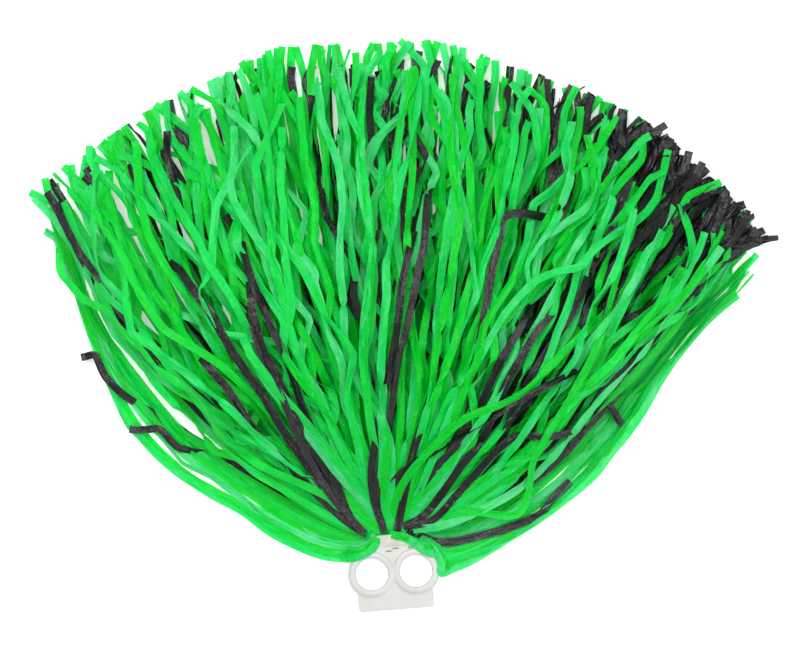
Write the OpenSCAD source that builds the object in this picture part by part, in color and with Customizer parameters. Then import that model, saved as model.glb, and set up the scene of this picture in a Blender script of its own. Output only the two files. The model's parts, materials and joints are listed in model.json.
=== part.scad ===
// Cheerleading pom pom with a two-finger plastic handle, laid flat on a table.
// Eight slit sheets of film are gathered, taped and stapled to the handle, and fan out from it.
// Millimetres, +Z up. The finger holes point up, and +Y runs from the grip to the streamers' tips.
// The origin is the middle of the whole pom's footprint, on the table.

/* [Handle] */
// Bore of each finger ring
hole_d = 25; // [18:0.5:30]
// Distance between the two finger holes
hole_pitch = 34.4; // [33.5:0.1:37]
// Outer diameter of each finger ring
ring_d = 37.4; // [35.5:0.1:39]
// Height of the finger rings
ring_t = 10; // [9:0.5:14]
// Width of the grip plate below the rings
grip_w = 59; // [50:1:66]
// How far the grip plate reaches below the hole centres
grip_drop = 28.7; // [24:0.1:40]
// Thickness of the grip plate
grip_t = 8.5; // [3:0.5:9]
// Width of the tongue that carries the film
tongue_w = 25; // [20:1:28]
// How far the tongue reaches above the hole centres
tongue_rise = 29; // [27:0.5:29.5]

/* [Film] */
// Width of the gathered film at the tape
pack_w = 30; // [26:1:34]
// Thickness of one gathered sheet where it is stapled
header_t = 0.5; // [0.3:0.05:0.53]
// Longest reach of a streamer from the tape
reach = 388; // [300:1:420]
// Height of the pile of streamers at its crown
crown_h = 86; // [60:1:110]
// Thickness that stands for one layer of slit film
layer_t = 1.5; // [1:0.1:3]

/* [Staple] */
// Length of the staple's crown
staple_w = 9.6; // [7:0.1:12]
// Diameter of the staple's wire
wire_d = 0.7; // [0.5:0.05:1]
// Turn of the staple across the tongue
staple_turn = 12; // [0:1:30]

/* [Place] */
// Handle's middle, measured from the middle of the whole footprint
handle_at = [-24, -195];

/* [Hidden] */

// colours of the eight sheets, from the lowest to the topmost
GREEN = [0.05, 0.82, 0.25];
BLACK = [0.12, 0.11, 0.13];
sheet_colours = [GREEN, BLACK, GREEN, BLACK, GREEN, GREEN, BLACK, GREEN];
sheets = len(sheet_colours);

hole_r = hole_d / 2;
ring_r = ring_d / 2;
rim_in = 1.6;
rim_out = 3.6;
rim_flat = 1.2;
corner_r = 3;
rib_r = 0.9;
rib_l = 17;

// the film lies under the tongue, one header on the other
pack_z = 0.8;
header_pitch = 0.56;
pack_top = pack_z + sheets * header_pitch;
tongue_z = pack_top + 0.1;
tongue_t = 2.8;
tongue_top = tongue_z + tongue_t;
header_y = [15, 22.5, 30.4];
header_half = [4.6, 13.6, pack_w / 2];
staple_y = 18;

tape_y = [20.6, 29.6];
tape_in = 0.05;
tape_t = 0.3;

// the streamers leave the tape here, and all the leaves bend about this line
hinge_y = 31;
lip = 0.8;

// reach of the fan against the angle from +X, as a share of the longest
fan_outline = [
    [0, 0.28], [6, 0.35], [16, 0.45], [25, 0.60], [29, 0.76], [32, 0.93], [38, 0.97],
    [60, 0.96], [80, 0.995], [97, 1], [111, 0.98], [133, 0.985], [137, 0.86],
    [145, 0.72], [154, 0.61], [172, 0.45], [180, 0.38]
];
// height of the pile from the tape to the tips, and from side to side
rise_along = [
    [0, 0], [0.1, 0.2], [0.25, 0.55], [0.45, 0.9], [0.6, 1], [0.8, 0.84], [1, 0.42]
];
rise_across = [
    [0, 0.05], [10, 0.12], [30, 0.5], [50, 0.86], [75, 1], [110, 1],
    [130, 0.86], [150, 0.45], [170, 0.12], [180, 0.05]
];
fan_angles = [
    0, 6, 16, 25, 29, 32, 38, 49, 60, 70, 80, 90, 97, 111, 121, 133, 137, 145, 154, 163, 172, 180
];
fan_steps = [0, 0.03, 0.1, 0.25, 0.45, 0.6, 0.8, 1];
thin_t = 0.32;
thin_run = 0.25;
loose_gap = 0.5;
// share of its reach that the topmost sheet loses, because it climbs over the pile
short_of = 0.07;

$fn = 48;

module placed() {
    translate([handle_at.x, handle_at.y, 0])
        children();
}

// ---------------------------------------------------------------- handle

// half section of a finger ring's body, filled to its axis, with a rounded outer rim
function ring_section() = concat(
    [[0, 0], [ring_r - rim_flat / 2, 0], [ring_r, rim_flat / 2]],
    [for (a = [0 : 15 : 90])
        [ring_r - rim_out * (1 - cos(a)), ring_t - rim_out * (1 - sin(a))]],
    [[0, ring_t]]
);

// half section of the bore, which opens out at both faces
function bore_section() = concat(
    [[0, -1], [hole_r + rim_in, -1], [hole_r + rim_in, 0]],
    [for (a = [75 : -15 : 0])
        [hole_r + rim_in * (1 - cos(a)), rim_in * (1 - sin(a))]],
    [for (a = [0 : 15 : 90])
        [hole_r + rim_in * (1 - cos(a)), ring_t - rim_in * (1 - sin(a))]],
    [[hole_r + rim_in, ring_t + 1], [0, ring_t + 1]]
);

module at_rings() {
    for (side = [-1, 1])
        translate([side * hole_pitch / 2, 0, 0])
            children();
}

// flat plate between two corners, with its lower corners rounded
module grip_plate() {
    side_x = grip_w / 2 - corner_r;
    low_y = corner_r - grip_drop;
    for (side = [-1, 1])
        translate([side * side_x, low_y, 0])
            cylinder(r = corner_r, h = grip_t);
    translate([-side_x, -grip_drop, 0])
        cube([2 * side_x, grip_drop, grip_t]);
    translate([-grip_w / 2, low_y, 0])
        cube([grip_w, -low_y, grip_t]);
}

module centre_rib() {
    translate([0, 1 - grip_drop, grip_t - rib_r / 2])
        rotate([-90, 0, 0])
            cylinder(r = rib_r, h = rib_l, $fn = 24);
}

module tongue() {
    translate([-tongue_w / 2, 6, tongue_z])
        cube([tongue_w, tongue_rise - 6, tongue_t]);
}

module handle() {
    color([0.9, 0.9, 0.87])
        placed()
            difference() {
                union() {
                    at_rings()
                        rotate_extrude($fn = 96)
                            polygon(ring_section());
                    grip_plate();
                    centre_rib();
                    tongue();
                }
                at_rings()
                    rotate_extrude($fn = 96)
                        polygon(bore_section());
            }
}

// ---------------------------------------------------------------- staple and tape

// a straight length of wire between two points
module wire(from, to) {
    run = to - from;
    length = norm(run);
    translate(from)
        rotate([0, acos(run.z / length), atan2(run.y, run.x)])
            cylinder(d = wire_d, h = length, $fn = 20);
}

// a bend or a rounded end of the wire
module wire_bend(at) {
    translate(at)
        sphere(d = 1.04 * wire_d, $fn = 20);
}

// the crown lies under the film, and the legs are bent inwards over the tongue
module staple() {
    low = pack_z - wire_d / 2;
    high = tongue_top + wire_d / 2;
    leg_x = staple_w / 2;
    tip_x = 0.5;
    splay = 0.8;
    color([0.45, 0.44, 0.42])
        placed()
            translate([0, staple_y, 0])
                rotate([0, 0, staple_turn]) {
                    wire([leg_x, 0, low], [-leg_x, 0, low]);
                    for (side = [-1, 1]) {
                        wire([side * leg_x, 0, low], [side * leg_x, 0, high]);
                        wire([side * leg_x, 0, high], [side * tip_x, side * splay, high]);
                        wire_bend([side * leg_x, 0, low]);
                        wire_bend([side * leg_x, 0, high]);
                    }
                }
}

// section of the tape's wrap, at a distance outside the film and the tongue
function wrap_section(d) = [
    [-(pack_w / 2 + d), pack_z - d], [pack_w / 2 + d, pack_z - d],
    [pack_w / 2 + d, pack_top + d], [tongue_w / 2 + d, tongue_top + d],
    [-(tongue_w / 2 + d), tongue_top + d], [-(pack_w / 2 + d), pack_top + d]
];

module binding_tape() {
    color([0.86, 0.86, 0.8])
        placed()
            translate([0, tape_y[1], 0])
                rotate([90, 0, 0])
                    linear_extrude(tape_y[1] - tape_y[0])
                        difference() {
                            polygon(wrap_section(tape_in + tape_t));
                            polygon(wrap_section(tape_in));
                        }
}

// ---------------------------------------------------------------- film

// the part of a sheet that isn't slit, gathered into pleats and stapled under the tongue
module sheet_header(k) {
    right = [for (i = [0 : 2]) [header_half[i], header_y[i]]];
    left = [for (i = [2 : -1 : 0]) [-header_half[i], header_y[i]]];
    color(sheet_colours[k - 1])
        placed()
            translate([0, 0, pack_z + (k - 1) * header_pitch])
                linear_extrude(header_t)
                    polygon(concat(right, left));
}

// place of a sheet in the pile: 0 is on the table and 1 is at the top
function share(k) = (k - 1) / (sheets - 1);

// a point of sheet k in plan, at an angle across the fan and a step along it
function fan_xy(k, a, v) =
    let (
        short = short_of * share(k) * lookup(a, rise_across),
        r = reach * lookup(a, fan_outline) * (1 - short),
        start = [(90 - a) / 180 * pack_w, hinge_y + lip],
        end = [r * cos(a), hinge_y + lip + r * sin(a)]
    )
    start + (end - start) * v;

// 0 at the tape, and 1 where the film has spread from its stack
function spread(v) = min(1, v / thin_run);

function film_t(v) = thin_t + (layer_t - thin_t) * spread(v);

// height from one sheet to the next: stacked at the tape, and loose in the pile further out
function sheet_pitch(a, v) =
    let (
        stacked = film_t(v) + header_pitch - thin_t + loose_gap * spread(v),
        pile = crown_h / (sheets - 1) * lookup(v, rise_along) * lookup(a, rise_across)
    )
    max(stacked, pile);

// underside of sheet k
function fan_z(k, a, v) = pack_z * (1 - spread(v)) + (k - 1) * sheet_pitch(a, v);

// a layer of streamers, as one thin shell of two skins and the rim between them
module sheet_streamers(k) {
    cols = len(fan_angles);
    rows = len(fan_steps);
    skin = cols * rows;
    low = [for (a = fan_angles, v = fan_steps)
        let (p = fan_xy(k, a, v)) [p.x, p.y, fan_z(k, a, v)]];
    high = [for (i = [0 : skin - 1])
        low[i] + [0, 0, film_t(fan_steps[i % rows])]];
    cells = [for (i = [0 : cols - 2], j = [0 : rows - 2]) i * rows + j];
    rim = concat(
        [for (j = [0 : rows - 2]) j],
        [for (i = [0 : cols - 2]) i * rows + rows - 1],
        [for (j = [rows - 1 : -1 : 1]) (cols - 1) * rows + j],
        [for (i = [cols - 1 : -1 : 1]) i * rows]
    );
    n = len(rim);
    faces = concat(
        [for (c = cells) [c, c + rows + 1, c + rows]],
        [for (c = cells) [c, c + 1, c + rows + 1]],
        [for (c = cells) [skin + c, skin + c + rows, skin + c + rows + 1]],
        [for (c = cells) [skin + c, skin + c + rows + 1, skin + c + 1]],
        [for (i = [0 : n - 1]) [rim[i], skin + rim[(i + 1) % n], rim[(i + 1) % n]]],
        [for (i = [0 : n - 1]) [rim[i], skin + rim[i], skin + rim[(i + 1) % n]]]
    );
    color(sheet_colours[k - 1])
        placed()
            polyhedron(points = concat(low, high), faces = faces, convexity = 4);
}

handle();
staple();
binding_tape();
for (k = [1 : sheets]) {
    sheet_header(k);
    sheet_streamers(k);
}
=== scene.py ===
"""Looks of the cheer pom pom: slit film streamers, pleated headers, moulded handle, tape and staple.

Lengths in this script are millimetres and places are in the handle's own frame: its origin is halfway
between the two finger holes, on the table. to_row() turns them into metres in the row frame.
"""

import json
import math

import bpy
import numpy as np
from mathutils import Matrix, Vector
from mathutils.bvhtree import BVHTree


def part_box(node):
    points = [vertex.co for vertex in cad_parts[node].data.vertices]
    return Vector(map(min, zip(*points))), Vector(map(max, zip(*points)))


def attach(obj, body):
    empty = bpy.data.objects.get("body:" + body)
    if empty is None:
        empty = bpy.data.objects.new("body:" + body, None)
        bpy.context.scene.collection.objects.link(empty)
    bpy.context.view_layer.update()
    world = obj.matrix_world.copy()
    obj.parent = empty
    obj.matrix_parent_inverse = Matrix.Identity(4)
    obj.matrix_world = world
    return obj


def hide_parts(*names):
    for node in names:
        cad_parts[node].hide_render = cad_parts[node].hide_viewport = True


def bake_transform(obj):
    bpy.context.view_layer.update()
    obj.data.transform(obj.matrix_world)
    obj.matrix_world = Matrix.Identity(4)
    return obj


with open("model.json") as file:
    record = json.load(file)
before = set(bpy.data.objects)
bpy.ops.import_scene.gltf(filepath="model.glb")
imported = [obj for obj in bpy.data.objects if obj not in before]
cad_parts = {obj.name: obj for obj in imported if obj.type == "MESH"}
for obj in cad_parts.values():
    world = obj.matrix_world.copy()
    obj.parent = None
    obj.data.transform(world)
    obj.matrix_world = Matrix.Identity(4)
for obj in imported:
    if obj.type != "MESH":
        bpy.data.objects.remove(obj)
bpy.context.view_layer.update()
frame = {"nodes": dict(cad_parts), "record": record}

MM = 0.001
SEED = 20

# ---------------------------------------------------------------- dimensions

STRIP_W = 6.0
STRIPS = 64
CUT_L = 406.0
FILM_T = 0.12
STEPS = 96

COLOUR_OF = {1: "green", 2: "black", 3: "green", 4: "black", 5: "green", 6: "green", 7: "black", 8: "green"}
SHEETS = sorted(COLOUR_OF)

mounts = {m["name"]: m for m in frame["record"]["mounts"]}
left_hole = Vector(mounts["left_finger_hole"]["pos_m"])
right_hole = Vector(mounts["right_finger_hole"]["pos_m"])
HANDLE_MID = (left_hole + right_hole) / 2
RING_X = (right_hole.x - left_hole.x) / 2 / MM
RING_R = 18.7
RING_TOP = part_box("handle")[1].z / MM
TAPE_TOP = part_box("binding_tape")[1].z / MM
TAPE_END = (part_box("binding_tape")[1].y - HANDLE_MID.y) / MM

# Lines that the streamers follow from the tape to about their tips, from the right flank to the left one.
# Each has its place across the fan: 0 is the right flank and 1 is the left flank.
FAN = [
    (0.000, [(15, 32), (30, 18), (37, 5), (35, -5), (42, -3), (60, 3), (90, 18), (123, 36), (158, 61),
             (193, 98), (223, 138), (258, 173), (300, 200)]),
    (0.045, [(12, 32), (25, 27), (37, 19), (60, 20), (95, 35), (130, 57), (170, 93), (215, 143), (300, 225)]),
    (0.110, [(9, 32), (40, 36), (90, 55), (140, 90), (240, 195), (295, 260)]),
    (0.270, [(5, 32), (42, 78), (95, 150), (150, 235), (185, 290), (210, 345)]),
    (0.460, [(1, 32), (20, 95), (40, 190), (55, 290), (70, 410)]),
    (0.630, [(-2, 32), (-20, 100), (-35, 195), (-50, 295), (-55, 415)]),
    (0.800, [(-5, 32), (-45, 107), (-85, 195), (-125, 285), (-160, 375)]),
    (0.920, [(-8, 32), (-65, 75), (-135, 145), (-185, 215), (-215, 275), (-240, 330)]),
    (0.960, [(-10, 32), (-40, 36), (-90, 70), (-140, 112), (-180, 158), (-210, 207), (-250, 310)]),
    (1.000, [(-9, 32), (-12, 23), (-22, 15), (-40, 13), (-60, 18), (-90, 35), (-115, 55), (-140, 70),
             (-165, 88), (-190, 116), (-206, 150), (-221, 202), (-243, 295)]),
]


def to_row(points):
    """Points in millimetres in the handle's frame, as metres in the row frame."""
    return points * MM + np.array([HANDLE_MID.x, HANDLE_MID.y, 0.0])


# ---------------------------------------------------------------- curves

PER_SPAN = 24


def smooth_curve(points, count):
    """A Catmull-Rom curve through the points, as that many points an even distance apart."""
    p = np.array(points, float)
    p = np.vstack([2 * p[0] - p[1], p, 2 * p[-1] - p[-2]])
    t = np.linspace(0, 1, PER_SPAN, endpoint=False)[:, None]
    spans = [
        0.5 * (2 * b + (c - a) * t + (2 * a - 5 * b + 4 * c - d) * t**2 + (3 * b - 3 * c + d - a) * t**3)
        for a, b, c, d in zip(p, p[1:], p[2:], p[3:])
    ]
    dense = np.vstack(spans + [p[-2]])
    return even_points(dense, count)


def travelled(points):
    """Distance along a line at each of its points."""
    return np.concatenate([[0], np.cumsum(np.linalg.norm(np.diff(points, axis=0), axis=1))])


def even_points(points, count, length=None):
    """Points an even distance apart on a line, as far as length, or to its end."""
    s = travelled(points)
    at = np.linspace(0, s[-1] if length is None else min(length, s[-1]), count)
    return np.column_stack([np.interp(at, s, points[:, i]) for i in range(points.shape[1])])


fan_places = np.array([place for place, line in FAN])
fan_lines = np.array([smooth_curve(line, STEPS) for place, line in FAN])


def fan_line(place):
    """The line at a place across the fan."""
    i = int(np.clip(np.searchsorted(fan_places, place) - 1, 0, len(fan_places) - 2))
    w = (place - fan_places[i]) / (fan_places[i + 1] - fan_places[i])
    return fan_lines[i] * (1 - w) + fan_lines[i + 1] * w


def ramp(s, start, end):
    """0 before start and 1 after end, with a smooth step between."""
    t = np.clip((s - start) / (end - start), 0, 1)
    return t * t * (3 - 2 * t)


def random_knots(rng, s, gap):
    """Random places along a line, about gap apart."""
    return np.cumsum(rng.uniform(0.45, 1.55, int(s[-1] / gap) + 4) * gap) - gap * rng.uniform(0, 1)


def zigzag(rng, s, gap, size):
    """Straight runs between random knots about gap apart, with values of about that size."""
    knots = random_knots(rng, s, gap)
    return np.interp(s, knots, rng.normal(0, size, len(knots)))


def creased(rng, s, gap, size):
    """Level stretches between creases about gap apart, with values of about that size."""
    knots = random_knots(rng, s, gap)
    values = rng.normal(0, size, len(knots) + 1)
    return values[np.searchsorted(knots, s)]


def rounded(values):
    """Values along a line with their corners rounded off a little."""
    inner = (values[:-2] + 2 * values[1:-1] + values[2:]) / 4
    return np.concatenate([values[:1], inner, values[-1:]])


# ---------------------------------------------------------------- the pile's height

# The grid in plan, which covers the whole fan, and how far up in metres its rays start.
GRID = 4.0
GRID_X = np.arange(-290, 330, GRID)
GRID_Y = np.arange(-20, 440, GRID)
ABOVE = 1.0


def height_grid(k):
    """Height of the solid that holds sheet k's streamers, at the corners of the grid in plan."""
    mesh = frame["nodes"][f"sheet_{k}_streamers"].data
    mesh.calc_loop_triangles()
    corners = [tuple(v.co) for v in mesh.vertices]
    tree = BVHTree.FromPolygons(corners, [tuple(t.vertices) for t in mesh.loop_triangles])
    heights = np.zeros((len(GRID_X), len(GRID_Y)))
    for i, x in enumerate(GRID_X):
        for j, y in enumerate(GRID_Y):
            at = Vector(to_row(np.array([x, y, 0.0])))
            hit = tree.ray_cast(at + Vector((0, 0, ABOVE)), Vector((0, 0, -1)))[0]
            if hit is None:
                hit = tree.find_nearest(at)[0]
            heights[i, j] = hit.z / MM
    return heights


heights = np.array([height_grid(k) for k in SHEETS])


def grid_place(values, grid):
    """The cell of a grid that each value lies in, and how far across that cell it is, from 0 to 1."""
    # a value past the last line counts as just inside it
    at = np.clip((values - grid[0]) / GRID, 0, len(grid) - 1.001)
    cell = at.astype(int)
    return cell, at - cell


def level_height(level, xy):
    """Height of the pile at a level: 1 is sheet 1, 8 is sheet 8, and a fraction lies between two sheets."""
    k = int(np.clip(math.floor(level), 1, len(SHEETS) - 1))
    grid = heights[k - 1] + (heights[k] - heights[k - 1]) * (level - k)
    i, u = grid_place(xy[:, 0], GRID_X)
    j, v = grid_place(xy[:, 1], GRID_Y)
    near = grid[i, j] * (1 - v) + grid[i, j + 1] * v
    far = grid[i + 1, j] * (1 - v) + grid[i + 1, j + 1] * v
    return near * (1 - u) + far * u


# How far above the handle a strip lies, and over what run it comes down beside the tape and the rings.
OVER = 0.8
OFF_TAPE_END = 3
OFF_TAPE_SIDE = (14, 22)
OFF_RING = 9


def over_handle(xy):
    """The height that keeps a strip on top of the tape and the finger rings, or 0 away from them."""
    along = 1 - ramp(xy[:, 1], TAPE_END, TAPE_END + OFF_TAPE_END)
    across = 1 - ramp(abs(xy[:, 0]), *OFF_TAPE_SIDE)
    out = (TAPE_TOP + OVER) * along * across
    for side in (-1, 1):
        d = np.hypot(xy[:, 0] - side * RING_X, xy[:, 1])
        out = np.maximum(out, (RING_TOP + OVER) * (1 - ramp(d, RING_R, RING_R + OFF_RING)))
    return out


# ---------------------------------------------------------------- one strip of film

FLOOR_GAP = 0.15
ROUND = 6


class Strip:
    """A strip's centreline, its roll about it, its width and its cupping, all in millimetres."""

    def __init__(self, points, roll, width, cup):
        self.points, self.roll, self.width, self.cup = points, roll, width, cup


def strip_vertices(strip):
    """ROUND points about each step of a strip: left, middle and right of its upper skin, and then right,
    middle and left of its lower one."""
    p = strip.points
    along = np.gradient(p, axis=0)
    along /= np.linalg.norm(along, axis=1)[:, None]
    flat = np.cross(along, [0.0, 0.0, 1.0])
    flat /= np.maximum(np.linalg.norm(flat, axis=1), 1e-6)[:, None]
    up = np.cross(flat, along)
    c, s = np.cos(strip.roll)[:, None], np.sin(strip.roll)[:, None]
    side, normal = flat * c + up * s, up * c - flat * s
    half = (strip.width / 2)[:, None] * side
    bulge = strip.cup[:, None] * normal
    skin = normal * FILM_T / 2
    rounds = np.stack([p - half + skin, p + bulge + skin, p + half + skin,
                       p + half - skin, p + bulge - skin, p - half - skin], axis=1)
    rounds[:, :, 2] += np.maximum(0, FLOOR_GAP - rounds[:, :, 2].min(axis=1))[:, None]
    return rounds


def strip_faces(steps):
    """Faces of one strip: its skins, its two long edges and its two ends."""
    ring = np.arange(ROUND)
    nxt = (ring + 1) % ROUND
    rows = np.arange(steps - 1)[:, None] * ROUND
    around = np.stack([rows + ring, rows + nxt, rows + ROUND + nxt, rows + ROUND + ring], axis=2)
    around = around.reshape(-1, 4)
    start = [[0, 5, 4, 1], [1, 4, 3, 2]]
    end = [[(steps - 1) * ROUND + i for i in reversed(face)] for face in start]
    return np.vstack([around, start, end])


def film_mesh(name, strips, rng):
    """One mesh of many strips. Its film attribute holds the distance along, the place across and a random
    number for each strip."""
    vertices = np.vstack([strip_vertices(s).reshape(-1, 3) for s in strips])
    faces, film, first = [], [], 0
    across = np.array([-1, 0, 1, 1, 0, -1]) * STRIP_W / 2
    for s in strips:
        n = len(s.points)
        faces.append(strip_faces(n) + first)
        first += n * ROUND
        run = np.repeat(travelled(s.points), ROUND)
        film.append(np.column_stack([run, np.tile(across, n), np.full(n * ROUND, rng.uniform())]))
    faces = np.vstack(faces)
    mesh = bpy.data.meshes.new(name)
    mesh.from_pydata(to_row(vertices).tolist(), [], faces.tolist())
    attribute = mesh.attributes.new("film", "FLOAT_VECTOR", "POINT")
    attribute.data.foreach_set("vector", np.vstack(film).astype(np.float32).ravel())
    # creased film shows its facets
    mesh.shade_flat()
    obj = bpy.data.objects.new(name, mesh)
    bpy.context.scene.collection.objects.link(obj)
    return obj


# ---------------------------------------------------------------- how the strips lie

# The room for a strip's height: from just above the table to a little above the crown of the pile.
CROWN = frame["nodes"]["sheet_8_streamers"]
LOWEST = 0.8
HIGHEST = max(v.co.z for v in CROWN.data.vertices) / MM + 5

# A strip has NECK_W of its width in the gather and opens out over GATHER_RUN.
GATHER_RUN = 40.0
NECK_W = 0.95
WIDTHS = (0.96, 1.08)

# Waves that neighbours share: their size and how they change across the fan and along it.
FLOW_WAVES = [(6.0, 31, 62), (4.0, 67, -41)]
FLOW_RUN = (20, 190)

# Along FREE_RUN a strip leaves the gather and starts to wander. Each wander has its gap and its size.
FREE_RUN = (25, 150)
WANDERS = [(95, 4.5), (30, 2.6)]

# How much a tip leans aside for each millimetre, and between which lengths the leaning part is.
TIP_LEANS = [(0.16, 40, 90), (0.55, 10, 32)]
MOST_LEAN = 0.8

# A strip weaves through its neighbours by a share of their room, and ripples by millimetres: gaps and sizes.
# That room counts as LEAST_ROOM at least.
WEAVE_GAP, WEAVE_SIZE = 62, 0.8
RIPPLE_GAP, RIPPLE_SIZE = 22, 1.3
LEAST_ROOM = 1.5

# Rising takes RISE_RUN. Diving starts and is done at these distances from the end.
RISE_RUN = 44
DIVE_FROM, DIVE_DONE = 50, 8

# Over its last TIP_RUN a strip that lies DROP_HEIGHT up sinks by TIP_DROP, and others in proportion.
TIP_RUN, TIP_DROP, DROP_HEIGHT = 70, 10, 40

# How uneven a strip's steps are, so that the creases of neighbours don't line up.
UNEVEN = 0.35

# Roll about the line: broad creases, finer ones, a tilt of the whole strip, and where it comes in.
ROLL_SIZE = math.radians(26)
ROLL_GAP = 30
FINE_ROLL = ROLL_SIZE * 0.35
FINE_ROLL_GAPS = (16, 7)
TILT = 0.2
ROLL_RUN = (20, 140)

# The share of strips that turn over once, where that starts and over what run. A low weave makes it a part
# turn.
TURNED_OVER = 0.3
TURN_STARTS = (50, 330)
TURN_RUNS = (9, 30)

# Cupping across the film, and where it comes in.
CUP_GAP, CUP_SIZE = 18, 0.9
CUP_RUN = (10, 120)


def flow(phases, place, s):
    """Sideways drift that neighbouring strips share, so that they run in locks."""
    waves = [
        size * np.sin(place * across + s / along + phase)
        for (size, across, along), phase in zip(FLOW_WAVES, phases)
    ]
    return sum(waves) * ramp(s, *FLOW_RUN)


def sideways(xy):
    """Unit vectors across a line in plan, to its left."""
    t = np.gradient(xy, axis=0)
    t /= np.linalg.norm(t, axis=1)[:, None]
    return np.column_stack([-t[:, 1], t[:, 0]])


def lean(rng, size):
    """How far a tip leans to one side for each millimetre of its length."""
    return float(np.clip(rng.normal(0, size), -MOST_LEAN, MOST_LEAN))


def strays(rng, s, kinky):
    """How far a strip strays to its side by itself: it wanders along the way, and its tip leans."""
    wander = sum(zigzag(rng, s, gap, size * kinky) for gap, size in WANDERS)
    leans = 0.0
    for size, shortest, longest in TIP_LEANS:
        leaning = lean(rng, size * math.sqrt(kinky))
        leans = leans + leaning * np.maximum(0, s - s[-1] + rng.uniform(shortest, longest))
    return wander, leans


def rolls(rng, at, weave):
    """Roll of a strip about its line, before the slope that it lies on."""
    turn = rounded(creased(rng, at, ROLL_GAP, ROLL_SIZE))
    for gap in FINE_ROLL_GAPS:
        turn = turn + zigzag(rng, at, gap, FINE_ROLL)
    if rng.uniform() < TURNED_OVER:
        start = rng.uniform(*TURN_STARTS)
        turn = turn + math.pi * rng.choice([-1, 1]) * ramp(at, start, start + rng.uniform(*TURN_RUNS))
    return (turn * weave + rng.normal(0, TILT) * weave) * ramp(at, *ROLL_RUN)


def lay_strip(rng, line, level, rise, length, kinky, drift, weave, rests, dive=0.0, emerge=6.0, stack=0.0):
    """A strip of that length along a line in plan, at a level in the pile, with kinks, twists and lifts.

    drift is an extra way to the side at each point. kinky and weave set how far the strip strays sideways and
    in height. stack, rise and dive count in levels: the strip lies stack higher all the way, rises by rise
    from emerge on, and dives by dive near its end. A strip that rests lies over the handle.
    """
    xy = even_points(line, STEPS)
    s = travelled(xy)
    free = ramp(s, *FREE_RUN)
    wander, leans = strays(rng, s, kinky)
    xy = xy + sideways(xy) * (wander * free + drift + leans)[:, None]
    z = level_height(level, xy)
    # a strip dips under its neighbours and comes up again, by about the room that one sheet has
    room = np.maximum(z - level_height(level - 1, xy), LEAST_ROOM)
    lift = room * zigzag(rng, s, WEAVE_GAP, WEAVE_SIZE * weave)
    lift = lift + zigzag(rng, s, RIPPLE_GAP, RIPPLE_SIZE * weave)
    tip_drop = TIP_DROP * ramp(s, s[-1] - TIP_RUN, s[-1]) * (z / DROP_HEIGHT)
    climb = stack + rise * ramp(s, emerge, emerge + RISE_RUN)
    climb = climb - dive * ramp(s, s[-1] - DIVE_FROM, s[-1] - DIVE_DONE)
    z = np.clip(z + climb * room + lift * free - tip_drop, LOWEST, HIGHEST)
    if rests:
        z = np.maximum(z, over_handle(xy))
    # the pile slopes across the strip, and the strip lies along that slope
    aside = sideways(xy) * STRIP_W / 2
    slope = np.arctan2(level_height(level, xy + aside) - level_height(level, xy - aside), STRIP_W)
    path = np.column_stack([xy, z, slope])
    s3 = travelled(path[:, :3])
    at = np.linspace(0, min(length, s3[-1]), STEPS)
    at[1:-1] += rng.uniform(-UNEVEN, UNEVEN, STEPS - 2) * at[1]
    points = np.column_stack([np.interp(at, s3, path[:, i]) for i in range(3)])
    roll = rolls(rng, at, weave) - np.interp(at, s3, path[:, 3])
    width = STRIP_W * (NECK_W + (1 - NECK_W) * ramp(at, 0, GATHER_RUN)) * rng.uniform(*WIDTHS)
    cup = rounded(zigzag(rng, at, CUP_GAP, CUP_SIZE)) * ramp(at, *CUP_RUN)
    return Strip(points, roll, width, cup)


# ---------------------------------------------------------------- strips that lie by chance

# The flanks lie outside these places, and the low sheets are those up to this one.
FLANKS = (0.09, 0.95)
LOW_SHEETS = 3
# Sheets that rest on the handle.
RESTING_SHEETS = (1, 2)

# Strips slant across their neighbours by about so much of the fan, and those of the low sheets by a share
# of that.
SLANT = 0.05
LOW_SLANT = 0.15

# The flanks and the low sheets lie stiffer than the rest. Sheet 4 weaves less, so that its black stays down.
FLANK_DRIFT, LOW_DRIFT = 0.1, 0.2
STIFF_KINKY = 0.2
STIFF_WEAVE = 0.35
WEAVE_OF = {4: 0.45}

# The black strips of sheet 7 lie so many levels lower, under green ones.
RISE_OF = {7: -1.2}

# How many levels up or down a strip may lie from its own one.
STACK = 0.4

# How kinky a strip can be, and the share of strips that are.
KINKS = [0.5, 1.2, 2.2, 3.6]
KINK_SHARES = [0.30, 0.36, 0.24, 0.10]

# The strips run straighter towards the right: as usual at the second of these places, and calmest at the
# first.
CALM_PLACES = (0.10, 0.17)
CALMEST = 0.35

# The right part of the fan and its outer edge: in full up to the first place, and not at all past the second.
RIGHT_PLACES = (0.25, 0.35)
EDGE_PLACES = (0.12, 0.20)

# How much shorter than the slit a strip shows: for all, for black ones left of the right part, for ones that
# end inside the pile, and for ones that are tucked in, in the right part and more at its edge.
CUT_SPREAD = 0.014
END_SPREAD = (0, 12)
BLACK_SHORT = (10, 45)
BURIED_ABOVE, BURIED_SHARE, BURIED = 4, 0.5, (0, 45)
TUCKED = (10, 62)
EDGE_TUCKED = (15, 65)


def places_by(rng, count, crowd, even=0.0):
    """Places across the fan, as many in each part as crowd, a list of (place, how crowded it is), says.
    even is 0 for places by chance and 1 for an even spacing."""
    at = np.linspace(crowd[0][0], crowd[-1][0], 400)
    share = np.cumsum(np.interp(at, [p for p, c in crowd], [c for p, c in crowd]))
    share = (share - share[0]) / (share[-1] - share[0])
    chance = even * 0.5 + (1 - even) * rng.uniform(0, 1, count)
    return np.interp((np.arange(count) + chance) / count, share, at)


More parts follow.
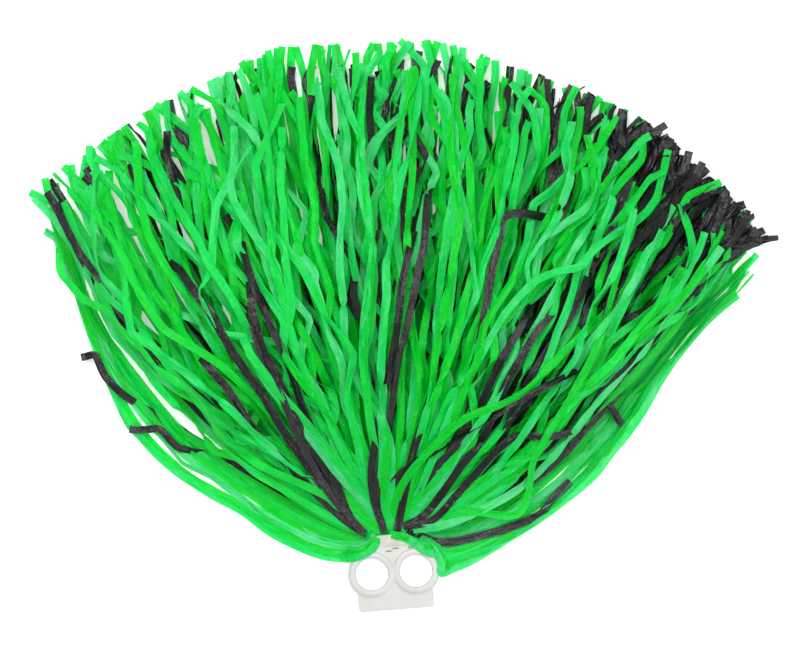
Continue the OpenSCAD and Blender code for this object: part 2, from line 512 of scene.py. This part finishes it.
def reach_of(rng, k, place):
    """Length of the run that shows from the tape, for a strip of sheet k at a place. To the right the green
    ones are tucked in, so that the black ones stand out past them."""
    full = CUT_L * (1 - abs(rng.normal(0, CUT_SPREAD)))
    right = 1 - ramp(place, *RIGHT_PLACES)
    edge = 0.0 if k <= LOW_SHEETS else 1 - ramp(place, *EDGE_PLACES)
    if COLOUR_OF[k] == "black":
        return full - rng.uniform(*END_SPREAD) - (1 - right) * rng.uniform(*BLACK_SHORT)
    buried = rng.uniform(*BURIED) if k > BURIED_ABOVE and rng.uniform() < BURIED_SHARE else 0.0
    # the higher the sheet, the more it is tucked in
    tucked = right * rng.uniform(*TUCKED) * (0.3 + 0.7 * k / 8) + edge * rng.uniform(*EDGE_TUCKED)
    return full - rng.uniform(*END_SPREAD) - buried - tucked


def bulk(rng, k, places):
    """Strips of sheet k at those places."""
    phases = rng.uniform(0, 2 * math.pi, 2)
    out = []
    for place in places:
        flank = place < FLANKS[0] or place > FLANKS[1]
        low = k <= LOW_SHEETS
        stiff = flank or low
        calm = CALMEST + (1 - CALMEST) * float(ramp(place, *CALM_PLACES))
        line = fan_line(place)
        s = travelled(line)
        if not flank:
            # a strip that slants across its neighbours
            tip = float(np.clip(place + rng.normal(0, SLANT * (LOW_SLANT if low else 1.0)), *FLANKS))
            share = ramp(s, 0, s[-1])[:, None]
            line = line * (1 - share) + fan_line(tip) * share
        drift = flow(phases, place, s) * (FLANK_DRIFT if flank else LOW_DRIFT if low else calm)
        kinky = rng.choice(KINKS, p=KINK_SHARES) * (STIFF_KINKY if stiff else calm)
        weave = STIFF_WEAVE if stiff else WEAVE_OF.get(k, 1.0)
        out.append(lay_strip(rng, line, k, RISE_OF.get(k, 0.0), reach_of(rng, k, place), kinky, drift, weave,
                             k in RESTING_SHEETS, stack=rng.uniform(-STACK, STACK)))
    return out


# ---------------------------------------------------------------- strips that stand out

# A bunch that comes up NEAR_TIP or later lies HIDDEN levels lower until then. The others dive at their ends,
# but for those of the low sheets.
NEAR_TIP = 100
HIDDEN = 1.4
DIVE = 2.2

# How far a guided strip strays, and how much shorter the strips of a bunch get from the first to the last.
GUIDED_KINKY, GUIDED_WEAVE = 0.4, 0.4
GUIDED_GAP, GUIDED_WANDER = 60, 1.2
GUIDED_STACK = 0.2
SHORTER = 60

# Along this run the strips of a bunch move apart to its width.
APART_RUN = (10, 60)


def bunch(rng, points, count, sheet, level, width, emerge):
    """Strips of a sheet that follow a line through those points side by side, over a width, and reach a level
    from emerge on."""
    late = emerge >= NEAR_TIP
    dive = DIVE if sheet > LOW_SHEETS and not late else 0.0
    under = HIDDEN if late else 0.0
    out = []
    for i in range(count):
        line = smooth_curve(points, STEPS)
        line = even_points(line, STEPS, travelled(line)[-1] - i * SHORTER / count)
        s = travelled(line)
        place = 0.0 if count == 1 else (i / (count - 1) - 0.5) * width
        drift = (place + zigzag(rng, s, GUIDED_GAP, GUIDED_WANDER)) * ramp(s, *APART_RUN)
        stack = rng.uniform(-GUIDED_STACK, GUIDED_STACK) - under
        out.append(lay_strip(rng, line, sheet, level - sheet + under, CUT_L, GUIDED_KINKY, drift,
                             GUIDED_WEAVE, sheet in RESTING_SHEETS, dive, emerge, stack))
    return out


# How far along a strip comes up: in the gather or just past it.
AT_TAPE, PAST_TAPE = -44, 6

# Strips that stand out in the photo: sheet, how many, over what width, the level that they reach, where they
# come up and the line that they follow.
GUIDED = [
    (7, 3, 11, 8.6, AT_TAPE, [(-20, 32), (-30, 45), (-45, 75), (-70, 145), (-95, 225), (-110, 285)]),
    (7, 1, 0, 7.9, AT_TAPE, [(-20, 32), (-40, 50), (-90, 115), (-135, 185), (-145, 215)]),
    (7, 1, 0, 8.2, PAST_TAPE, [(-20, 32), (-45, 65), (-110, 185), (-155, 275)]),
    (7, 2, 5, 8.6, AT_TAPE, [(-5, 32), (-10, 60), (-5, 95), (20, 180), (45, 285), (55, 320)]),
    (7, 1, 0, 8.8, PAST_TAPE, [(0, 32), (0, 60), (15, 80), (50, 100), (100, 125), (155, 150), (190, 165)]),
    (7, 1, 0, 8.6, AT_TAPE, [(10, 35), (30, 45), (60, 80), (85, 105), (110, 115)]),
    (7, 1, 0, 8.8, AT_TAPE, [(10, 35), (35, 40), (65, 70), (100, 100), (125, 98), (150, 100), (170, 115),
                             (185, 100)]),
    (7, 1, 0, 8.5, AT_TAPE, [(5, 32), (10, 50), (20, 85), (35, 125), (60, 190)]),
    (7, 1, 0, 8.8, 260, [(-17, 32), (-65, 75), (-140, 155), (-185, 205), (-210, 245), (-225, 270),
                         (-235, 295), (-245, 315)]),
    (7, 1, 0, 8.6, 300, [(-9, 32), (-35, 105), (-80, 195), (-120, 255), (-140, 295), (-145, 330),
                         (-145, 355)]),
    (7, 1, 0, 8.5, PAST_TAPE, [(0, 32), (30, 70), (65, 115), (85, 190), (100, 250), (110, 270), (165, 265)]),
    (7, 3, 26, 8.3, 70, [(15, 35), (60, 70), (100, 140), (150, 215), (160, 260)]),
    (2, 1, 0, 2.4, PAST_TAPE, [(10, 32), (25, 25), (40, 20), (65, 23), (90, 30), (125, 45), (145, 50)]),
    (2, 1, 0, 3.5, 140, [(-10, 32), (-40, 40), (-80, 62), (-120, 96), (-150, 108), (-160, 111), (-175, 125),
                         (-190, 117)]),
    (2, 1, 0, 3.5, 200, [(-10, 32), (-50, 50), (-100, 85), (-150, 118), (-185, 145), (-205, 165), (-215, 190),
                         (-230, 190)]),
    (1, 4, 9, 1.0, PAST_TAPE, [(-5, 33), (0, 30), (12, 26), (24, 18), (31, 15), (38, 18), (50, 24), (110, 60),
                               (160, 96), (210, 146)]),
    (8, 2, 5, 8.8, PAST_TAPE, [(-5, 32), (-20, 60), (-65, 130), (-95, 180), (-120, 230)]),
    (8, 2, 5, 8.8, PAST_TAPE, [(-5, 32), (-5, 60), (0, 110), (-10, 160), (0, 220), (10, 300)]),
    (8, 1, 0, 8.9, PAST_TAPE, [(0, 32), (10, 65), (30, 90), (60, 115), (100, 130), (150, 170), (195, 210)]),
    (8, 1, 0, 8.9, PAST_TAPE, [(15, 35), (60, 45), (95, 40), (105, 50), (115, 80), (145, 125), (170, 170),
                               (195, 240), (215, 295)]),
    (8, 1, 0, 8.9, PAST_TAPE, [(10, 35), (45, 100), (80, 165), (115, 210), (140, 222), (160, 225), (175, 240),
                               (230, 270)]),
]


# ---------------------------------------------------------------- the strips of each sheet

# How crowded each sheet's strips lie across the fan, and how evenly. The black ones crowd to the right.
CROWD = {
    2: [(0.10, 1.0), (0.14, 1.1), (0.28, 1.1), (0.40, 1.0), (0.94, 1.0)],
    3: [(0.095, 1.0), (0.95, 1.0)],
    4: [(0.10, 2.6), (0.15, 2.4), (0.24, 1.8), (0.33, 0.6), (0.42, 0.2), (0.88, 0.12), (0.93, 0.2)],
    5: [(0.10, 1.3), (0.30, 1.0), (0.42, 1.2), (0.955, 1.2)],
    6: [(0.10, 1.6), (0.16, 1.2), (0.42, 1.1), (0.95, 1.1)],
    7: [(0.10, 2.8), (0.16, 2.3), (0.26, 1.7), (0.36, 0.4), (0.60, 0.16), (0.94, 0.12)],
    8: [(0.10, 2.7), (0.16, 1.8), (0.33, 1.7), (0.46, 1.0), (0.95, 0.9)],
}
EVEN = {2: 0.8, 3: 0.9, 5: 0.6, 6: 0.4}

# Sheet 1 makes both flanks, with so many strips each, and lines the bottom between them.
RIGHT_FLANK, LEFT_FLANK = 12, 8
RIGHT_CROWD = [(0.0, 1.3), (0.10, 1.0)]
BOTTOM_CROWD = [(0.10, 0.8), (0.5, 1.0), (0.95, 1.3)]
LEFT_CROWD = [(0.96, 1.0), (1.0, 1.0)]

# Strips to a lock, and how far it spreads across the fan.
LOCK = 5
LOCK_SPREAD = 0.004


def locks(rng, count, crowd):
    """Places for strips that cling together in locks."""
    middles = places_by(rng, math.ceil(count / LOCK), crowd)
    return np.repeat(middles, LOCK)[:count] + rng.normal(0, LOCK_SPREAD, count)


def sheet_strips(rng, k):
    """All the strips of sheet k."""
    guided = []
    for sheet, count, width, level, emerge, points in GUIDED:
        if sheet == k:
            guided += bunch(rng, points, count, sheet, level, width, emerge)
    left = STRIPS - len(guided)
    if k == 1:
        places = np.concatenate([places_by(rng, RIGHT_FLANK, RIGHT_CROWD),
                                 places_by(rng, left - RIGHT_FLANK - LEFT_FLANK, BOTTOM_CROWD, 0.9),
                                 places_by(rng, LEFT_FLANK, LEFT_CROWD, 0.5)])
    elif k == 7:
        places = locks(rng, left, CROWD[k])
    else:
        places = places_by(rng, left, CROWD[k], EVEN.get(k, 0.0))
    return guided + bulk(rng, k, places)


# ---------------------------------------------------------------- materials

def nodes_of(name):
    """A new material with an empty node tree but for its output."""
    material = bpy.data.materials.new(name)
    material.use_nodes = True
    tree = material.node_tree
    tree.nodes.clear()
    output = tree.nodes.new("ShaderNodeOutputMaterial")
    return material, tree, output


def add(tree, kind, values=None, **links):
    """A node with its sockets set by values and joined by links, which are output sockets."""
    node = tree.nodes.new(kind)
    for key, value in (values or {}).items():
        node.inputs[key].default_value = value
    for key, socket in links.items():
        tree.links.new(socket, node.inputs[key.replace("_", " ")])
    return node


def ramp_node(tree, factor, stops):
    """A colour ramp through (place, colour) stops."""
    node = tree.nodes.new("ShaderNodeValToRGB")
    tree.links.new(factor, node.inputs["Fac"])
    elements = node.color_ramp.elements
    while len(elements) < len(stops):
        elements.new(0.5)
    for element, (place, colour) in zip(elements, stops):
        element.position = place
        element.color = (*colour, 1)
    return node.outputs["Color"]


def map_range(tree, value, low, high):
    """A value from 0 to 1 as one from low to high."""
    node = add(tree, "ShaderNodeMapRange", {"To Min": low, "To Max": high}, Value=value)
    return node.outputs["Result"]


def calculate(tree, operation, *values):
    """The result of a math node on values, each of them a number or an output socket."""
    node = tree.nodes.new("ShaderNodeMath")
    node.operation = operation
    for socket, value in zip(node.inputs, values):
        if isinstance(value, float):
            socket.default_value = value
        else:
            tree.links.new(value, socket)
    return node.outputs[0]


def noise(tree, place, scale, detail=2.0, roughness=0.5):
    """Soft noise of that scale, from 0 to 1."""
    values = {"Scale": scale, "Detail": detail, "Roughness": roughness}
    return add(tree, "ShaderNodeTexNoise", values, Vector=place).outputs["Fac"]


def stretched(tree, place, scale):
    """A place with each of its directions scaled."""
    return add(tree, "ShaderNodeMapping", {"Scale": scale}, Vector=place).outputs[0]


def bumped(tree, height, strength, distance):
    """A surface direction that follows a height, at a distance in metres."""
    node = add(tree, "ShaderNodeBump", {"Strength": strength, "Distance": distance}, Height=height)
    return node.outputs[0]


# Each strip reads its own part of the noise, by chance up to so far away.
STRIP_SHIFT = 977.0
# How much of a strip's place on its colour ramp is its own tone, and how much is painted sheen that varies
# along it.
OWN_SHARE = 0.45
SHEEN_PATCH_SHARE = 0.62
# How deep the small dents are beside the folds.
DENT_SHARE = 0.35


def film_material(name, tone_and_sheen_stops, glow, glow_share, roughness, specular):
    """Thin slit film. Its colour varies at random from strip to strip, and along each strip in patches of
    painted sheen.
    Folds run along it and small dents lie anywhere. glow is the colour of light that comes through it, and
    glow_share its share."""
    material, tree, output = nodes_of(name)
    film = tree.nodes.new("ShaderNodeAttribute")
    film.attribute_name = "film"
    parts = add(tree, "ShaderNodeSeparateXYZ", Vector=film.outputs["Vector"])
    along, across, random = (parts.outputs[i] for i in range(3))
    shift = calculate(tree, "MULTIPLY", random, STRIP_SHIFT)
    place = add(tree, "ShaderNodeCombineXYZ", X=along, Y=across, Z=shift).outputs[0]
    # painted sheen: paler patches along each strip lift it up the colour ramp towards its palest stops
    sheen_patches = noise(tree, stretched(tree, place, (1.0, 3.0, 1.0)), 0.05, 4.0, 0.65)
    painted_sheen = calculate(tree, "MULTIPLY", sheen_patches, SHEEN_PATCH_SHARE)
    colour = ramp_node(tree, calculate(tree, "MULTIPLY_ADD", random, OWN_SHARE, painted_sheen), tone_and_sheen_stops)
    folds = noise(tree, stretched(tree, place, (0.2, 1.0, 1.0)), 0.4, 3.0)
    dents = noise(tree, place, 0.35, 3.0)
    normal = bumped(tree, calculate(tree, "MULTIPLY_ADD", dents, DENT_SHARE, folds), 0.8, 0.0022)
    face = add(tree, "ShaderNodeBsdfPrincipled", {"Specular IOR Level": specular}, Base_Color=colour,
               Roughness=map_range(tree, folds, *roughness), Normal=normal)
    through = add(tree, "ShaderNodeBsdfTranslucent", {"Color": (*glow, 1)}, Normal=normal)
    mix = tree.nodes.new("ShaderNodeMixShader")
    mix.inputs[0].default_value = glow_share
    tree.links.new(face.outputs[0], mix.inputs[1])
    tree.links.new(through.outputs[0], mix.inputs[2])
    tree.links.new(mix.outputs[0], output.inputs["Surface"])
    return material


def green_film():
    """Bright green film that lets much light through."""
    # the lower stops are the film's own green, which varies at random from strip to strip; the pale mint
    # upper stops are painted sheen
    stops = [(0.2, (0.0, 0.54, 0.01)), (0.42, (0.0, 0.66, 0.04)), (0.64, (0.012, 0.70, 0.15)),
             (0.80, (0.13, 0.72, 0.34))]
    return film_material("green_film", stops, glow=(0.22, 1.0, 0.46), glow_share=0.5, roughness=(0.2, 0.5),
                         specular=0.3)


def black_film():
    """Black film that lets next to no light through."""
    stops = [(0.2, (0.001, 0.001, 0.002)), (0.5, (0.005, 0.005, 0.006)), (0.9, (0.020, 0.020, 0.020))]
    return film_material("black_film", stops, glow=(0.01, 0.01, 0.01), glow_share=0.04, roughness=(0.16, 0.5),
                         specular=0.42)


def object_place(tree):
    """Object coordinates, in metres in the row frame."""
    return tree.nodes.new("ShaderNodeTexCoord").outputs["Object"]


def coat(tree, output, colour, roughness, normal, values):
    """Gives a material one shader with that colour, roughness and surface direction."""
    face = add(tree, "ShaderNodeBsdfPrincipled", values, Base_Color=colour, Roughness=roughness,
               Normal=normal)
    tree.links.new(face.outputs[0], output.inputs["Surface"])


def white_plastic():
    """Moulded white plastic, a little cream and faintly mottled, with a satin finish."""
    material, tree, output = nodes_of("white_plastic")
    place = object_place(tree)
    cloud = noise(tree, place, 60.0, 4.0)
    grain = noise(tree, place, 900.0)
    colour = ramp_node(tree, cloud, [(0.3, (0.49, 0.49, 0.465)), (0.7, (0.55, 0.55, 0.525))])
    coat(tree, output, colour, map_range(tree, cloud, 0.32, 0.5), bumped(tree, grain, 0.12, 0.0003),
         {"Specular IOR Level": 0.5})
    return material


def binding_tape():
    """Cream tape with fine ridges, side by side along x, and darker smudges."""
    material, tree, output = nodes_of("binding_tape")
    place = object_place(tree)
    ridges = add(tree, "ShaderNodeTexWave", {"Scale": 420.0, "Distortion": 3.0, "Detail": 2.0}, Vector=place)
    ridges.bands_direction = "X"
    smudge = noise(tree, place, 160.0, 5.0)
    colour = ramp_node(tree, smudge, [(0.3, (0.40, 0.40, 0.34)), (0.7, (0.56, 0.55, 0.49))])
    coat(tree, output, colour, map_range(tree, smudge, 0.35, 0.6),
         bumped(tree, ridges.outputs["Fac"], 0.4, 0.0002), {"Specular IOR Level": 0.5})
    return material


def staple_wire():
    """Drawn steel wire, dull and a little tarnished."""
    material, tree, output = nodes_of("staple_wire")
    tarnish = noise(tree, object_place(tree), 900.0, 4.0)
    colour = ramp_node(tree, tarnish, [(0.3, (0.10, 0.095, 0.09)), (0.7, (0.28, 0.27, 0.26))])
    coat(tree, output, colour, map_range(tree, tarnish, 0.3, 0.55), bumped(tree, tarnish, 0.3, 0.0001),
         {"Metallic": 1.0})
    return material


def dress(obj, material):
    """Gives the object that one material."""
    obj.data.materials.clear()
    obj.data.materials.append(material)


# ---------------------------------------------------------------- pieces

FILM = {"green": green_film(), "black": black_film()}


# A header is a grid of points, narrowest at its end next to the rings and folded into pleats.
PLEAT_COLUMNS, PLEAT_ROWS = 120, 10
PLEATS = 15
PLEAT_DEPTH = 0.3
PINCHED, PINCH_RUN = 0.32, 0.55
WAVER = 0.6


def pleated_header(k):
    """The unslit end of sheet k, gathered into pleats under the tongue."""
    low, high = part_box(f"sheet_{k}_header")
    y0, y1 = (low.y - HANDLE_MID.y) / MM, (high.y - HANDLE_MID.y) / MM
    z = (low.z + high.z) / 2 / MM
    half = (high.x - low.x) / 2 / MM
    deep = (high.z - low.z) / MM * PLEAT_DEPTH
    columns, rows = PLEAT_COLUMNS, PLEAT_ROWS
    across = np.linspace(-1, 1, columns)
    along = np.linspace(0, 1, rows)
    grid = []
    for v in along:
        wide = half * (PINCHED + (1 - PINCHED) * ramp(v, 0.0, PINCH_RUN))
        wave = deep * np.sin(across * math.pi * PLEATS + WAVER * math.sin(5 * v + k))
        grid.append(np.column_stack([across * wide, np.full(columns, y0 + (y1 - y0) * v), z + wave]))
    skin = np.vstack(grid)
    up = skin + [0, 0, FILM_T / 2]
    down = skin - [0, 0, FILM_T / 2]
    n = len(skin)
    faces = []
    for r in range(rows - 1):
        for c in range(columns - 1):
            a = r * columns + c
            faces.append((a, a + 1, a + columns + 1, a + columns))
            faces.append((n + a, n + a + columns, n + a + columns + 1, n + a + 1))
    rim = list(range(columns))
    rim += [r * columns + columns - 1 for r in range(1, rows)]
    rim += [(rows - 1) * columns + c for c in range(columns - 2, -1, -1)]
    rim += [r * columns for r in range(rows - 2, 0, -1)]
    faces += [(a, n + a, n + b, b) for a, b in zip(rim, rim[1:] + rim[:1])]
    mesh = bpy.data.meshes.new(f"sheet_{k}_pleats")
    mesh.from_pydata(to_row(np.vstack([up, down])).tolist(), [], faces)
    film = np.column_stack([up[:, 1], up[:, 0], np.full(n, 0.5)])
    attribute = mesh.attributes.new("film", "FLOAT_VECTOR", "POINT")
    attribute.data.foreach_set("vector", np.vstack([film, film]).astype(np.float32).ravel())
    obj = bpy.data.objects.new(mesh.name, mesh)
    bpy.context.scene.collection.objects.link(obj)
    dress(obj, FILM[COLOUR_OF[k]])
    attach(obj, "handle")
    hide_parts(f"sheet_{k}_header")
    return obj


def streamers(k, header):
    """The slit part of sheet k."""
    rng = np.random.default_rng(SEED + k)
    obj = film_mesh(f"sheet_{k}_slit_film", sheet_strips(rng, k), rng)
    dress(obj, FILM[COLOUR_OF[k]])
    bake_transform(obj)
    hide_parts(f"sheet_{k}_streamers")


SOFT_VOXEL = 0.5
SOFT_FACTOR = 0.5
SOFT_PASSES = 9


def moulded_handle():
    """The handle with the soft edges of a moulding."""
    source = frame["nodes"]["handle"]
    obj = bpy.data.objects.new("moulded_handle", source.data.copy())
    bpy.context.scene.collection.objects.link(obj)
    remesh = obj.modifiers.new("even", "REMESH")
    remesh.mode = "VOXEL"
    remesh.voxel_size = SOFT_VOXEL * MM
    soften = obj.modifiers.new("soften", "SMOOTH")
    soften.factor = SOFT_FACTOR
    soften.iterations = SOFT_PASSES
    evaluated = obj.evaluated_get(bpy.context.evaluated_depsgraph_get())
    mesh = bpy.data.meshes.new_from_object(evaluated)
    obj.modifiers.clear()
    obj.data = mesh
    mesh.shade_smooth()
    dress(obj, white_plastic())
    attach(obj, "handle")
    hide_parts("handle")


moulded_handle()
dress(frame["nodes"]["binding_tape"], binding_tape())
dress(frame["nodes"]["staple"], staple_wire())
for k in SHEETS:
    streamers(k, pleated_header(k))


# ---------------------------------------------------------------- floor, lights and camera

# From here on lengths are metres in the row frame, and only the camera's sensor is in millimetres.
FLOOR_HALF = 4.0
FLOOR_Z = -0.0005
TABLE_GLOW = 0.35
SKY = 0.5

# Softboxes: name, place, side in metres and power in watts.
SOFTBOXES = [("key", (-0.35, 0.6, 1.6), 1.2, 29), ("fill", (0.9, -0.7, 1.2), 0.9, 12)]

CAMERA_PLACE = (-0.004, -0.0014, 2.5)
CAMERA_TURN = math.radians(-4.5)
VIEW_W = 0.624
SENSOR_W = 36.0


def pale_floor():
    """A white tabletop that is lit a little from within, like a product table."""
    mesh = bpy.data.meshes.new("floor")
    corners = [(-FLOOR_HALF, -FLOOR_HALF, 0), (FLOOR_HALF, -FLOOR_HALF, 0), (FLOOR_HALF, FLOOR_HALF, 0),
               (-FLOOR_HALF, FLOOR_HALF, 0)]
    mesh.from_pydata(corners, [], [(0, 1, 2, 3)])
    floor = bpy.data.objects.new("floor", mesh)
    floor.location.z = FLOOR_Z
    bpy.context.scene.collection.objects.link(floor)
    material, tree, output = nodes_of("white_table")
    cloud = noise(tree, object_place(tree), 3.0)
    colour = ramp_node(tree, cloud, [(0.3, (0.88, 0.88, 0.88)), (0.7, (0.92, 0.92, 0.92))])
    glowing = {"Roughness": 0.9, "Emission Strength": TABLE_GLOW, "Emission Color": (1, 1, 1, 1)}
    face = add(tree, "ShaderNodeBsdfPrincipled", glowing, Base_Color=colour)
    tree.links.new(face.outputs[0], output.inputs["Surface"])
    dress(floor, material)


def softbox(name, place, side, power):
    """A square softbox that faces the middle of the row frame."""
    light = bpy.data.lights.new(name, "AREA")
    light.shape = "SQUARE"
    light.size = side
    light.energy = power
    obj = bpy.data.objects.new(name, light)
    obj.location = place
    obj.rotation_euler = (-Vector(place)).to_track_quat("-Z", "Y").to_euler()
    bpy.context.scene.collection.objects.link(obj)


def studio():
    """Even white surroundings and two softboxes."""
    world = bpy.data.worlds.new("studio")
    world.use_nodes = True
    background = world.node_tree.nodes["Background"]
    background.inputs["Color"].default_value = (1, 1, 1, 1)
    background.inputs["Strength"].default_value = SKY
    bpy.context.scene.world = world
    for box in SOFTBOXES:
        softbox(*box)
    bpy.context.scene.view_settings.view_transform = "Standard"


def camera():
    """A camera that looks straight down, turned a little about its line of sight."""
    data = bpy.data.cameras.new("camera")
    data.sensor_width = SENSOR_W
    data.lens = SENSOR_W * CAMERA_PLACE[2] / VIEW_W
    obj = bpy.data.objects.new("camera", data)
    obj.location = CAMERA_PLACE
    obj.rotation_euler = (0, 0, CAMERA_TURN)
    bpy.context.scene.collection.objects.link(obj)
    bpy.context.scene.camera = obj


pale_floor()
studio()
camera()
